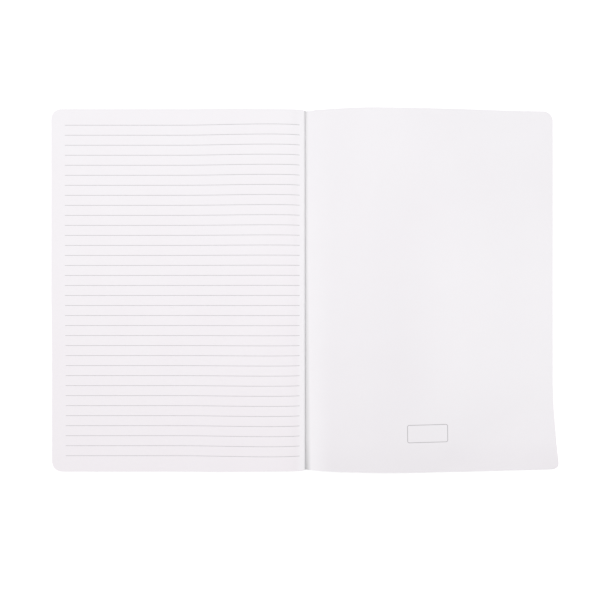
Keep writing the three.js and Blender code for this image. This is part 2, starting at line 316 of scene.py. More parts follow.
def wire(tree, kind, inputs=None, **settings):
    node = tree.nodes.new(kind)
    for key, value in settings.items():
        setattr(node, key, value)
    for key, value in (inputs or {}).items():
        if isinstance(value, bpy.types.NodeSocket):
            tree.links.new(value, node.inputs[key])
        else:
            node.inputs[key].default_value = value
    return node


def calc(tree, operation, *values):
    node = wire(tree, "ShaderNodeMath", dict(enumerate(values)), operation=operation)
    return node.outputs[0]


def ramp(tree, value, start, end, low=0.0, high=1.0, kind="LINEAR"):
    node = wire(
        tree,
        "ShaderNodeMapRange",
        {"Value": value, "From Min": start, "From Max": end, "To Min": low, "To Max": high},
        interpolation_type=kind,
    )
    return node.outputs[0]


def past(tree, value, level, soft):
    return ramp(tree, value, level - soft, level + soft, kind="SMOOTHSTEP")


def upTo(tree, value, level, soft):
    return ramp(tree, value, level - soft, level + soft, 1.0, 0.0, kind="SMOOTHSTEP")


def between(tree, value, low, high, soft):
    return calc(tree, "MULTIPLY", past(tree, value, low, soft), upTo(tree, value, high, soft))


def blendColour(tree, factor, a, b):
    node = wire(tree, "ShaderNodeMix", data_type="RGBA")
    for socket, value in ((node.inputs[0], factor), (node.inputs[6], a), (node.inputs[7], b)):
        if isinstance(value, bpy.types.NodeSocket):
            tree.links.new(value, socket)
        else:
            socket.default_value = value
    return node.outputs[2]


def grain(tree, vector, scale, detail=3.0, roughness=0.55):
    node = wire(
        tree,
        "ShaderNodeTexNoise",
        {"Vector": vector, "Scale": scale, "Detail": detail, "Roughness": roughness},
    )
    return node.outputs["Fac"]


def stretched(tree, vector, factors):
    node = wire(tree, "ShaderNodeVectorMath", {0: vector, 1: factors}, operation="MULTIPLY")
    return node.outputs[0]


def pagePlaces(tree):
    attribute = wire(tree, "ShaderNodeAttribute", attribute_name="pagePlace")
    parts = wire(tree, "ShaderNodeSeparateXYZ", {"Vector": attribute.outputs["Vector"]})
    return attribute.outputs["Vector"], parts.outputs[0], parts.outputs[1], parts.outputs[2]


# The last nodes of every finish: fine relief, the surface itself and the output
def finishSurface(tree, colour, roughness, relief, look, fixed):
    strength, depth = look["relief"]
    bump = wire(tree, "ShaderNodeBump", {"Height": relief, "Strength": strength, "Distance": depth})
    inputs = {"Base Color": colour, "Roughness": roughness, "Normal": bump.outputs[0], **fixed}
    surface = wire(tree, "ShaderNodeBsdfPrincipled", inputs)
    wire(tree, "ShaderNodeOutputMaterial", {"Surface": surface.outputs[0]})


topFace = (0.98, 0.01)  # a page place's side is 1 on the near face and -1 on the far one

# Writing paper: white with a cool pink cast, fine fibres, and grey feint rules on both faces; painted
# shade toward the tail and in the fold, painted light near the fold
paperLook = {
    "colour": (0.915, 0.898, 0.923, 1),
    "shade": (0.885, 0.846, 0.878, 1),
    "cloud": (28.0, 4.0),
    "cloudShare": 0.5,
    "tailShadeMost": 0.75,  # painted shade: the page darkens a little from head to tail
    "tailShare": 0.9,
    # painted light: the paper is lighter near the fold, against the shading of its slope into the
    # fold
    "litNearFold": (0.94, 0.923, 0.947, 1),
    "litNearFoldTo": (5 * mm, 4.5 * mm),
    # painted shade in the fold, darker toward the tail
    "creaseShadeAtHead": (0.90, 0.89, 0.905, 1),
    "creaseShadeAtTail": (0.70, 0.692, 0.705, 1),
    "creaseShadeTo": (0.9 * mm, 0.4 * mm),
    "lipShadeAtHead": (0.69, 0.682, 0.695, 1),  # painted shade where the leaf turns down into the fold
    "lipShadeAtTail": (0.83, 0.82, 0.835, 1),
    "lipShade": (0.75 * mm, 1.45 * mm, 0.35 * mm),
    "fleck": (0.87, 0.85, 0.872, 1),
    "fleckGrain": (900.0, 2.0),
    "fleckFrom": (0.66, 0.04),
    "fleckShare": 0.25,
    # cut edges: random tone, and painted shade for the gaps between leaves
    "cutEdge": (0.95, 0.945, 0.948, 1),
    "cutEdgeShade": (0.60, 0.595, 0.60, 1),
    "cutEdgePatches": (35.0, 2.0),
    "cutEdgePatchiness": (1.2, 0.4),
    "rule": (0.42, 0.41, 0.425, 1),
    "ruleWidth": 0.34 * mm,
    "ruleSoft": 0.03 * mm,
    "rulePitch": 8.2 * mm,
    "firstRule": 135.2 * mm,
    "ruleCount": 34,
    "ruleFromFold": 5.2 * mm,
    "ruleFromEdge": 13.3 * mm,
    "ruleEndSoft": 0.1 * mm,
    "inkGrain": (420.0, 2.0),
    "inkWear": (0.5, 0.6),
    "fibreStretch": (1.0, 1.6, 1.0),
    "fibres": (2600.0, 4.0, 0.7),  # scale, detail and roughness of the grain
    "cockle": (60.0, 2.0),
    "cockleShare": 0.8,
    "relief": (0.25, 0.03 * mm),
    "roughness": 0.86,
    "specular": 0.25,
}


def ruledInk(tree, vector, distance, along):
    look = paperLook
    fromFirst = calc(tree, "SUBTRACT", look["firstRule"], along)
    steps = calc(tree, "DIVIDE", fromFirst, look["rulePitch"])
    nearest = calc(tree, "ROUND", steps)
    offShare = calc(tree, "ABSOLUTE", calc(tree, "SUBTRACT", steps, nearest))
    offLine = calc(tree, "MULTIPLY", offShare, look["rulePitch"])
    onLine = upTo(tree, offLine, look["ruleWidth"] / 2, look["ruleSoft"])
    inCount = between(tree, nearest, -0.5, look["ruleCount"] - 0.5, 0.1)
    lineEnd = book["coverWidth"] - look["ruleFromEdge"]
    inWidth = between(tree, distance, look["ruleFromFold"], lineEnd, look["ruleEndSoft"])
    ink = calc(tree, "MULTIPLY", calc(tree, "MULTIPLY", onLine, inCount), inWidth)
    wear = calc(tree, "MULTIPLY_ADD", grain(tree, vector, *look["inkGrain"]), *look["inkWear"])
    return calc(tree, "MINIMUM", calc(tree, "MULTIPLY", ink, wear), 1.0)


# Each sheet's cut edge has its own tone, a little patchy along the way; the darkest ones are painted
# shade for the gaps between leaves
def cutEdgeToneAndShade(tree, vector):
    look = paperLook
    tone = wire(tree, "ShaderNodeAttribute", attribute_name="edgeToneAndGapShade")
    patches = grain(tree, vector, *look["cutEdgePatches"])
    patchy = calc(tree, "MULTIPLY_ADD", patches, *look["cutEdgePatchiness"])
    shaded = calc(tree, "MINIMUM", calc(tree, "MULTIPLY", tone.outputs["Fac"], patchy), 1.0)
    return blendColour(tree, shaded, look["cutEdge"], look["cutEdgeShade"])


def makePaper(name):
    look = paperLook
    material, tree = newMaterial(name)
    vector, distance, along, side = pagePlaces(tree)
    # painted shade: darker toward the tail, on top of the random cloud of tone
    towardTail = ramp(tree, along, halfHeight, -halfHeight, 0.0, look["tailShadeMost"])
    tailShade = calc(tree, "MULTIPLY", towardTail, look["tailShare"])
    cloud = grain(tree, vector, *look["cloud"])
    shadeShare = calc(tree, "MULTIPLY_ADD", cloud, look["cloudShare"], tailShade)
    shadeShare = calc(tree, "MINIMUM", shadeShare, 1.0)
    colour = blendColour(tree, shadeShare, look["colour"], look["shade"])
    # painted light near the fold
    colour = blendColour(tree, upTo(tree, distance, *look["litNearFoldTo"]), colour, look["litNearFold"])
    # painted shade in the fold
    creaseShadeColour = blendColour(tree, towardTail, look["creaseShadeAtHead"], look["creaseShadeAtTail"])
    colour = blendColour(tree, upTo(tree, distance, *look["creaseShadeTo"]), colour, creaseShadeColour)
    # painted shade where the leaf turns down into the fold
    lipShadeColour = blendColour(tree, towardTail, look["lipShadeAtHead"], look["lipShadeAtTail"])
    colour = blendColour(tree, between(tree, distance, *look["lipShade"]), colour, lipShadeColour)
    fleck = past(tree, grain(tree, vector, *look["fleckGrain"]), *look["fleckFrom"])
    fleck = calc(tree, "MULTIPLY", fleck, look["fleckShare"])
    colour = blendColour(tree, fleck, colour, look["fleck"])
    colour = blendColour(tree, ruledInk(tree, vector, distance, along), colour, look["rule"])
    onFace = past(tree, calc(tree, "ABSOLUTE", side), *topFace)
    colour = blendColour(tree, onFace, cutEdgeToneAndShade(tree, vector), colour)
    fibres = grain(tree, stretched(tree, vector, look["fibreStretch"]), *look["fibres"])
    cockle = grain(tree, vector, *look["cockle"])
    relief = calc(tree, "MULTIPLY_ADD", cockle, look["cockleShare"], fibres)
    fixed = {"Specular IOR Level": look["specular"]}
    finishSurface(tree, colour, look["roughness"], relief, look, fixed)
    return material


# Cover card: smooth white board, matt inside and satin outside, with a printed outline for a label;
# inside, painted shade toward the tail, on the arch's far slope and in the crease, and painted light
# beside the fold and on the outer field
cardLook = {
    "inside": (0.905, 0.888, 0.913, 1),
    "insideShade": (0.845, 0.818, 0.846, 1),
    "cloud": (22.0, 4.0),
    "cloudShare": 0.4,
    # painted shade toward the tail
    "tailShadeMost": 0.55,
    "tailEndShade": (26 * mm, 0.4),  # painted shade: the last stretch before the tail edge is darker still
    # painted light: lighter beside the fold toward the tail, also laid on the middle of the flatter
    # outer part
    "besideFold": (0.935, 0.919, 0.942, 1),
    "litBesideFoldTo": (12 * mm, 11 * mm),
    "litBesideFoldShare": 1.3,
    "field": (100 * mm, 30 * mm),  # where the painted light of the flatter outer part begins, and how softly
    "litFieldHeight": (-100 * mm, 50 * mm, 42 * mm),  # from, to, how softly
    "litFieldShare": 0.38,
    # painted shade on the far slope of the arch, toward the tail
    "slope": (45 * mm, 92 * mm, 18 * mm),
    "shadeSlopeShare": 0.6,
    # painted shade in the crease, wider and darker toward the tail
    "creaseShadeAtHead": (0.82, 0.812, 0.825, 1),
    "creaseShadeAtTail": (0.56, 0.555, 0.565, 1),
    "creaseShadeWidens": 20 * mm,  # from here to the tail edge
    "creaseReach": (1.25 * mm, 2.5 * mm),
    "creaseShadeBehind": -5.0,  # in reaches: the front cover is clear of the crease's painted shade
    "outside": (0.87, 0.86, 0.875, 1),
    "rubbed": (0.80, 0.785, 0.795, 1),
    "rubbedTo": (1.2 * mm, 0.9 * mm),
    "rubbedShare": 0.35,
    "scuffGrain": (160.0, 5.0, 0.7),
    "scuffFrom": (0.68, 0.05),
    "scuffShare": 0.25,
    "grain": (1500.0, 3.0, 0.6),
    "relief": (0.2, 0.03 * mm),
    "roughness": (0.78, 0.42),  # inside, outside
    "specular": 0.3,
    "print": (0.42, 0.405, 0.42, 1),
    "labelAt": (99.2 * mm, -116.8 * mm),
    "labelSize": (33.2 * mm, 14.2 * mm),
    "labelRadius": 1.5 * mm,
    "labelLine": 0.46 * mm,
    "labelSoft": 0.03 * mm,
    "labelTilt": math.radians(0.65),
}


def roundedBox(tree, x, y, size, radius):
    partX = calc(tree, "SUBTRACT", calc(tree, "ABSOLUTE", x), size[0] / 2 - radius)
    partY = calc(tree, "SUBTRACT", calc(tree, "ABSOLUTE", y), size[1] / 2 - radius)
    outX = calc(tree, "MAXIMUM", partX, 0.0)
    outY = calc(tree, "MAXIMUM", partY, 0.0)
    squareX = calc(tree, "MULTIPLY", outX, outX)
    squareY = calc(tree, "MULTIPLY", outY, outY)
    outside = calc(tree, "SQRT", calc(tree, "ADD", squareX, squareY))
    inside = calc(tree, "MINIMUM", calc(tree, "MAXIMUM", partX, partY), 0.0)
    return calc(tree, "SUBTRACT", calc(tree, "ADD", outside, inside), radius)


def labelInk(tree, distance, along, side):
    look = cardLook
    shiftX = calc(tree, "SUBTRACT", distance, look["labelAt"][0])
    shiftY = calc(tree, "SUBTRACT", along, look["labelAt"][1])
    cosTilt, sinTilt = math.cos(look["labelTilt"]), math.sin(look["labelTilt"])
    x = calc(tree, "MULTIPLY_ADD", shiftX, cosTilt, calc(tree, "MULTIPLY", shiftY, sinTilt))
    y = calc(tree, "MULTIPLY_ADD", shiftY, cosTilt, calc(tree, "MULTIPLY", shiftX, -sinTilt))
    box = roundedBox(tree, x, y, look["labelSize"], look["labelRadius"])
    ink = upTo(tree, calc(tree, "ABSOLUTE", box), look["labelLine"] / 2, look["labelSoft"])
    return calc(tree, "MULTIPLY", ink, past(tree, side, *topFace))


# Light rubbing: along the head and tail edges outside, and in scattered scuffs
def rubbing(tree, vector, along, outsideShare):
    look = cardLook
    fromEnd = calc(tree, "SUBTRACT", halfHeight, calc(tree, "ABSOLUTE", along))
    nearEnd = upTo(tree, fromEnd, *look["rubbedTo"])
    rubbedEdge = calc(tree, "MULTIPLY", nearEnd, outsideShare)
    scuff = past(tree, grain(tree, vector, *look["scuffGrain"]), *look["scuffFrom"])
    scuff = calc(tree, "MULTIPLY", scuff, look["scuffShare"])
    return calc(tree, "MULTIPLY", calc(tree, "MAXIMUM", rubbedEdge, scuff), look["rubbedShare"])


def makeCard(name, labelled):
    look = cardLook
    material, tree = newMaterial(name)
    vector, distance, along, side = pagePlaces(tree)
    # painted shade toward the tail, darker still over the last stretch
    towardTail = ramp(tree, along, halfHeight, -halfHeight, 0.0, look["tailShadeMost"])
    endRun, endShade = look["tailEndShade"]
    atTail = ramp(tree, along, endRun - halfHeight, -halfHeight, 0.0, endShade)
    tailShare = calc(tree, "ADD", towardTail, atTail)
    cloud = grain(tree, vector, *look["cloud"])
    shadeShare = calc(tree, "MULTIPLY_ADD", cloud, look["cloudShare"], tailShare)
    shadeShare = calc(tree, "MINIMUM", shadeShare, 1.0)
    inside = blendColour(tree, shadeShare, look["inside"], look["insideShade"])

    # painted light beside the fold, growing toward the tail
    beside = upTo(tree, distance, *look["litBesideFoldTo"])
    litBesideFold = calc(tree, "MULTIPLY", towardTail, look["litBesideFoldShare"])
    inside = blendColour(tree, calc(tree, "MULTIPLY", beside, litBesideFold), inside, look["besideFold"])
    # painted light on the middle of the flatter outer part
    outward = past(tree, distance, *look["field"])
    litField = calc(tree, "MULTIPLY", outward, between(tree, along, *look["litFieldHeight"]))
    litField = calc(tree, "MULTIPLY", litField, look["litFieldShare"])
    inside = blendColour(tree, litField, inside, look["besideFold"])
    # painted shade on the far slope of the arch
    shadeOnSlope = calc(tree, "MULTIPLY", between(tree, distance, *look["slope"]), towardTail)
    shadeOnSlope = calc(tree, "MULTIPLY", shadeOnSlope, look["shadeSlopeShare"])
    inside = blendColour(tree, shadeOnSlope, inside, look["insideShade"])

    # painted shade in the crease
    reach = ramp(tree, along, look["creaseShadeWidens"], -halfHeight, *look["creaseReach"])
    pastFold = calc(tree, "DIVIDE", distance, reach)
    inCreaseShade = between(tree, pastFold, look["creaseShadeBehind"], 1.0, 1.0)
    creaseShadeColour = blendColour(tree, tailShare, look["creaseShadeAtHead"], look["creaseShadeAtTail"])
    inside = blendColour(tree, inCreaseShade, inside, creaseShadeColour)
    if labelled:
        inside = blendColour(tree, labelInk(tree, distance, along, side), inside, look["print"])

    outsideShare = upTo(tree, side, 0.0, 0.5)
    colour = blendColour(tree, outsideShare, inside, look["outside"])
    worn = rubbing(tree, vector, along, outsideShare)
    colour = blendColour(tree, worn, colour, look["rubbed"])
    fine = grain(tree, vector, *look["grain"])
    rough = ramp(tree, outsideShare, 0.0, 1.0, *look["roughness"])
    finishSurface(tree, colour, rough, fine, look, {"Specular IOR Level": look["specular"]})
    return material


# Galvanised wire of the staples, drawn along its length
wireLook = {
    "colour": (0.62, 0.63, 0.65, 1),
    "dull": (0.42, 0.42, 0.44, 1),
    "zinc": (900.0, 3.0),
    "dullFrom": (0.5, 0.12),
    "drawnAlong": (1.0, 0.12, 1.0),
    "streaks": (5200.0, 3.0),
    "roughness": (0.24, 0.46),
    "relief": (0.3, 0.02 * mm),
    "diameter": 0.55 * mm,
}


def makeWire(name):
    look = wireLook
    material, tree = newMaterial(name)
    coordinates = wire(tree, "ShaderNodeTexCoord").outputs["Object"]
    streaks = grain(tree, stretched(tree, coordinates, look["drawnAlong"]), *look["streaks"])
    dull = past(tree, grain(tree, coordinates, *look["zinc"]), *look["dullFrom"])
    colour = blendColour(tree, dull, look["colour"], look["dull"])
    rough = ramp(tree, streaks, 0.0, 1.0, *look["roughness"])
    finishSurface(tree, colour, rough, streaks, look, {"Metallic": 1.0})
    return material


paperRuled = makePaper("ruledPaper")
cardPlain = makeCard("coverCard", False)
cardLabelled = makeCard("coverCardWithLabel", True)
stapleMetal = makeWire("stapleWire")
print("materials made")

# Camera straight above the open notebook, with the fold a little right of the middle
cameraPlace = {
    "right": -4.85 * mm,
    "towardHead": -7.9 * mm,
    "height": 690 * mm,
    "lens": 50.0,
    "sensor": 36.0,
}
cameraData = bpy.data.cameras.new("overhead")
cameraData.lens = cameraPlace["lens"]
cameraData.sensor_width = cameraPlace["sensor"]
camera = bpy.data.objects.new("overhead", cameraData)
camera.location = (foldX + cameraPlace["right"], cameraPlace["towardHead"], cameraPlace["height"])
bpy.context.scene.collection.objects.link(camera)
bpy.context.scene.camera = camera
print("camera placed")


# Sheets: each one folded once and nested in the one below it, with slightly uneven cut edges
sheetEdges = {
    "seed": 11,
    "unevenFore": 0.16 * mm,
    "unevenEnds": 0.3 * mm,
    "fan": 0.75 * mm,  # the upper leaves have slid out a little at the head
    "fanFrom": 120 * mm,
    "fanSlope": (-65 * mm, 0.0),  # growing from here to here, toward the head
    "toneSeed": 4,
    "darkShare": 0.27,  # sheets whose cut edge stands back in shade
    "lightTone": 0.35,
    "coarse": 1.9,  # spacing of places on hidden leaves, against those that show
    "shownLeaves": 2,
    "rows": 10,
    "noseSteps": 9,
}
uneven = random.Random(sheetEdges["seed"])
tones = random.Random(sheetEdges["toneSeed"])
lastLeafNumber = 2 * book["sheetCount"]


def shareOf(sheet):
    return (book["sheetCount"] - sheet + 0.5) / book["sheetCount"]


def foreEdgeOf(leaf):
    return book["coverWidth"] - book["leafSetback"] - (leaf - 1) * book["leafStagger"]


def leafPath(leaf, share, above, coarse):
    foreEdge = foreEdgeOf(leaf) - uneven.random() * sheetEdges["unevenFore"]
    places = [(d, 0.0) for d in leafDistances(foreEdge, coarse)]
    places += cornerPlaces(foreEdge, leafSteps["inCorner"])
    most = sheetEdges["fan"] * share if above else 0.0
    path = []
    for distance, cut in places:
        x, z = besideFold(distance, share, above)
        fan = most * ease(sheetEdges["fanFrom"], foreEdge, distance)
        path.append((x, z, distance, cut, fan))
    return path


def nosePath(share, above, steps):
    path = []
    for k in range(steps + 1):
        x, z = roundFold(k / steps, share, above)
        path.append((x, z, -x, 0.0, 0.0))
    return path


def gridAlong(path, rows, low, high, wave=None):
    grid = []
    for x, z, distance, cut, fan in path:
        column = []
        for j in range(rows + 1):
            inward = cut + trimAt("block", distance)
            y = mix(low + inward, high - inward, j / rows)
            lift = wave(distance, y) if wave else 0.0
            slid = fan * ease(*sheetEdges["fanSlope"], y)
            column.append((Vector((x - slid, y, z + lift)), distance, y))
        grid.append(column)
    return grid


# a random light tone, or for some sheets painted shade of the gap between leaves
def toneAndShadeEdge(piece):
    light = tones.random() * sheetEdges["lightTone"]
    tone = 1.0 if tones.random() < sheetEdges["darkShare"] else light
    values = piece.data.attributes.new("edgeToneAndGapShade", "FLOAT", "POINT")
    values.data.foreach_set("value", [tone] * len(piece.data.vertices))


def foldedSheet(sheet):
    share = shareOf(sheet)
    coarse = sheetEdges["coarse"]
    upperCoarse = coarse if sheet > sheetEdges["shownLeaves"] else 1.0
    path = leafPath(sheet, share, False, coarse)[::-1]
    path += nosePath(share, False, sheetEdges["noseSteps"])
    path += nosePath(share, True, sheetEdges["noseSteps"])[1:]
    path += leafPath(lastLeafNumber + 1 - sheet, share, True, upperCoarse)
    low = -halfHeight + uneven.random() * sheetEdges["unevenEnds"]
    high = halfHeight - uneven.random() * sheetEdges["unevenEnds"]
    grid = gridAlong(path, sheetEdges["rows"], low, high)
    piece = thinSheet(f"foldedSheet{sheet:02d}", grid, -halfPaper, halfPaper)
    toneAndShadeEdge(piece)
    piece.data.materials.append(paperRuled)
    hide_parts(f"sheet_{sheet:02d}")
    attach(piece, "page_block")


for sheet in range(2, book["sheetCount"] + 1):
    foldedSheet(sheet)
print("inner sheets made")

# The outermost sheet: front leaf and fold, then the last leaf in two stretches
lastLeaf = {
    "hinge": 4.4 * mm,
    "bend": 60 * mm,
    "seamOnNose": 2.6 * mm,
    "seamOnHump": 30 * mm,
    "bendReach": 14 * mm,
    "hingeReach": 1.3 * mm,
    "coarse": 0.62,
    "noseSteps": 14,
    "rows": 66,
    "wave": 0.045 * mm,
    "waveScale": (16, 11),
    "waveSlice": 0.37,
    "waveBase": 0.5,
    "waveFrom": (8 * mm, 40 * mm),
}
frontLeaf = {"coarse": 1.6, "noseSteps": 12, "rows": 2}


def paperWave(distance, y):
    scaleX, scaleY = lastLeaf["waveScale"]
    place = Vector((distance * scaleX, y * scaleY, lastLeaf["waveSlice"]))
    settle = ease(*lastLeaf["waveFrom"], distance)
    return lastLeaf["wave"] * settle * (lastLeaf["waveBase"] + noise.noise(place))


def firstPast(seam, path):
    return next(k for k, place in enumerate(path) if place[2] > seam)


def outerSheet():
    share = shareOf(1)
    upper = nosePath(share, True, lastLeaf["noseSteps"])[1:]
    upper += leafPath(lastLeafNumber, share, True, lastLeaf["coarse"])
    seam = firstPast(lastLeaf["seamOnNose"], upper)
    second = firstPast(lastLeaf["seamOnHump"], upper)
    front = leafPath(1, share, False, frontLeaf["coarse"])[::-1]
    front += nosePath(share, False, frontLeaf["noseSteps"]) + upper[: seam + 1]
    frontGrid = gridAlong(front, frontLeaf["rows"], -halfHeight, halfHeight)
    frontPiece = thinSheet("frontLeafAndFold", frontGrid, -halfPaper, halfPaper)
    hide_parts("sheet_01")
    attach(frontPiece, "page_block")

    grid = gridAlong(upper[seam:], lastLeaf["rows"], -halfHeight, halfHeight, paperWave)
    normals = gridNormals(grid)
    cut = second - seam
    innerGrid, outerGrid = grid[: cut + 1], grid[cut:]
    inner = thinSheet("lastLeafBesideFold", innerGrid, -halfPaper, halfPaper, normals[: cut + 1])
    outer = thinSheet("lastLeaf", outerGrid, -halfPaper, halfPaper, normals[cut:])
    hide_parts("last_leaf_inner")
    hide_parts("last_leaf_outer")
    hingeZ = besideFold(lastLeaf["hinge"], share, True)[1]
    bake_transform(inner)
    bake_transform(outer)
    for piece in (frontPiece, inner, outer):
        piece.data.materials.append(paperRuled)


outerSheet()
print("last leaf made")

# Cover: one card, from the front fore edge under the block, round the folds and out to the right
cover = {
    "spineWidth": 6 * mm,
    "creaseRise": 1.3 * mm,
    "creaseOffset": 0.2 * mm,
    "creaseStripWidth": 8 * mm,
    "creaseStripRise": 1.1 * mm,
    "archBend": 50 * mm,
    "curlFrom": 100 * mm,
    "curlUpTo": 75 * mm,
    "curlRadius": 87 * mm,
    "curlFlare": 1.85 * mm,
    "curlTuck": 0.7 * mm,
    "curledCornerRadius": 5.2 * mm,
    "seamOnStrip": 4.2 * mm,
    "seamOnInner": 30 * mm,
    "seamOnOuter": 76 * mm,
    "scoreReach": 1.2 * mm,
    "creaseReach": 0.7 * mm,
    "creaseEntry": 0.1 * mm,
    "stripBendReach": 3.2 * mm,
    "archBendReach": 14 * mm,
    "curlReach": 50 * mm,
    "firstColumn": 0.7 * mm,
    "columnStep": (0.55 * mm, 2.4 * mm),
    "columnEase": 30 * mm,
    "cornerSteps": 9,
    "rows": 84,
    "edgeRise": 0.15 * mm,
}
creaseZ = foldHeight + cover["creaseRise"]
outOfFold = [  # x, z and distance where the card comes up beside the block
    (0.0, foldHeight + 0.1 * mm, -1 * mm),
    (0.0, creaseZ - 0.5 * mm, -1 * mm),
    (0.0, creaseZ - 0.28 * mm, -1 * mm),
    (0.06 * mm, creaseZ - 0.1 * mm, 0.0),
    (0.26 * mm, creaseZ + 0.01 * mm, 0.3 * mm),
]
backCoverLine = [
    (cover["creaseOffset"], creaseZ),
    (cover["creaseStripWidth"], creaseZ + cover["creaseStripRise"]),
    (18 * mm, 8.2 * mm),
    (30 * mm, 10.9 * mm),
    (42 * mm, 13.1 * mm),
    (56 * mm, 14.3 * mm),
    (85 * mm, 12.3 * mm),
    (120 * mm, 8.6 * mm),
    (155 * mm, 4.1 * mm),
    (180 * mm, 1.5 * mm),
    (book["backCoverReach"], cover["edgeRise"] + book["card"]),
]
curlRun = book["backCoverReach"] - cover["curlFrom"]
curlClimb = halfHeight - cover["curlUpTo"]
curlLength = math.hypot(curlRun, curlClimb)
curlDepth = curlRun * curlClimb / curlLength
acrossCurl = Vector((curlClimb / curlLength, -curlRun / curlLength, 0))


def onBackCover(x, y):
    point = Vector((x, y, heightOn(backCoverLine, x)))
    across = (x - cover["curlFrom"]) * acrossCurl.x + (y + halfHeight) * acrossCurl.y
    if across > 0:
        bend = across / cover["curlRadius"]
        point += acrossCurl * (cover["curlRadius"] * math.sin(bend) - across)
        point.x += cover["curlFlare"] * (across / curlDepth) ** 2
        point.y += cover["curlTuck"] * across / curlDepth
        point.z += cover["curlRadius"] * (1 - math.cos(bend))
    return point


def coverColumns():
    places = []
    x = cover["firstColumn"]
    while x < book["backCoverReach"] - book["cornerRadius"]:
        places.append((x, 0.0))
        x += mix(*cover["columnStep"], ease(0, cover["columnEase"], x))
    return places + cornerPlaces(book["backCoverReach"], cover["cornerSteps"])


def coverRows(headCut, tailCut):
    rows = cover["rows"]
    return [mix(tailCut - halfHeight, halfHeight - headCut, j / rows) for j in range(rows + 1)]


# The curled corner is cut a little sharper than the others
def curledCornerCut(x):
    radius = cover["curledCornerRadius"]
    into = max(x - book["backCoverReach"] + radius, 0.0)
    return radius - math.sqrt(max(radius**2 - into**2, 0.0))


def coverGrid():
    inFold = trimAt("backCover", 0)
    rows = coverRows(inFold, inFold)
    grid = [[(Vector((x, y, z)), distance, y) for y in rows] for x, z, distance in outOfFold]
    for x, cut in coverColumns():
        headCut = trimAt("backCover", x)
        tailCut = headCut + trimAt("backCoverTail", x)
        rows = coverRows(cut + headCut, curledCornerCut(x) + tailCut)
        grid.append([(onBackCover(x, y), x, y) for y in rows])
    return grid


def backCover():
    grid = coverGrid()
    normals = gridNormals(grid)
    firstRow = [column[0][1] for column in grid]
    seams = []
    for seam in (cover["seamOnStrip"], cover["seamOnInner"], cover["seamOnOuter"]):
        seams.append(next(k for k, distance in enumerate(firstRow) if distance > seam))
    cuts = [0] + seams + [len(grid) - 1]
    names = ("backCoverCrease", "backCoverStrip", "backCoverArch", "backCoverField")
    pieces = []
    for k, name in enumerate(names):
        part = slice(cuts[k], cuts[k + 1] + 1)
        piece = thinSheet(name, grid[part], 0.0, book["card"], normals[part])
        piece.data.materials.append(cardLabelled if name == "backCoverField" else cardPlain)
        pieces.append(piece)
    crease, strip, arch, field = pieces
    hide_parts("back_cover_crease")
    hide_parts("back_cover_inner")
    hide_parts("back_cover_outer", "back_cover_corner")
    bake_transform(crease)
    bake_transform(strip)
    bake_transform(arch)
    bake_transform(field)


backCover()
print("back cover made")

# The front half of the card lies flat, then bends up round the block to the fold
frontCover = {
    "flatStep": 6 * mm,
    "spineStep": 0.4 * mm,
    "spineFrom": 3 * mm,  # closer places begin this far outside the spine's score
    "spineTo": 0.2 * mm,
    "noseSteps": 12,
    "probe": 0.01,
    "overFold": 0.1 * mm,
    "rows": 24,
}


def frontCoverAndSpine():
    card = book["card"]
    corners = cornerPlaces(book["coverWidth"], cover["cornerSteps"])
    flat = [(-distance, cut) for distance, cut in corners[::-1]]
    spineStart = -cover["spineWidth"] - frontCover["spineFrom"]
    x = book["cornerRadius"] - book["coverWidth"]
    while x < spineStart:
        flat.append((x, 0.0))
        x += frontCover["flatStep"]
    x = spineStart
    while x < -nose - frontCover["spineTo"]:
        flat.append((x, 0.0))
        x += frontCover["spineStep"]
    path = [(x, card, x, cut, 0.0) for x, cut in flat]
    for k in range(frontCover["noseSteps"] + 1):
        t = k / frontCover["noseSteps"]
        outer = bezier(foldBelow, t)
        ahead = bezier(foldBelow, min(t + frontCover["probe"], 1.0))
        behind = bezier(foldBelow, max(t - frontCover["probe"], 0.0))
        way = Vector((behind.x - ahead.x, ahead.y - behind.y)).normalized()
        x = -outer.x + book["seatGap"] * way.y
        path.append((x, outer.y - book["seatGap"] * way.x, x, 0.0, 0.0))
    path.append((0.0, foldHeight + frontCover["overFold"], 0.0, 0.0, 0.0))
    grid = gridAlong(path, frontCover["rows"], -halfHeight, halfHeight)
    piece = thinSheet("frontCoverAndSpine", grid, 0.0, card)
    piece.data.materials.append(cardPlain)
    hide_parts("front_cover", "cover_spine")
    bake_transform(piece)


frontCoverAndSpine()
print("front cover made")

# Wire staples: crown on the spine, legs through the folds, tips clenched in the middle
stapleShape = {
    "crown": 13 * mm,
    "fromMiddle": 74 * mm,
    "clench": 4.5 * mm,
    "bend": 0.5 * mm,
    "crownClearance": 0.06 * mm,
    "sides": 14,
    "bendSteps": 7,
    "tipShare": 0.72,  # the cut tips are a little thinner than the wire
}


def stapleLine(middle):
    half = stapleShape["crown"] / 2
    crownX = book["seatGap"] + book["card"] + stapleShape["crownClearance"]
    crownX += wireLook["diameter"] / 2
    corners = [
        Vector((-nose, half - stapleShape["clench"])),
        Vector((-nose, half)),
        Vector((crownX, half)),
        Vector((crownX, -half)),
        Vector((-nose, -half)),
        Vector((-nose, stapleShape["clench"] - half)),
    ]
    line = [corners[0]]
    for before, corner, after in zip(corners, corners[1:], corners[2:]):
        back = (before - corner).normalized() * stapleShape["bend"]
        on = (after - corner).normalized() * stapleShape["bend"]
        for step in range(stapleShape["bendSteps"] + 1):
            t = step / stapleShape["bendSteps"]
            line.append((corner + back * (1 - t)).lerp(corner + on * t, t))
    line.append(corners[-1])
    return [Vector((p.x, p.y + middle)) for p in line]


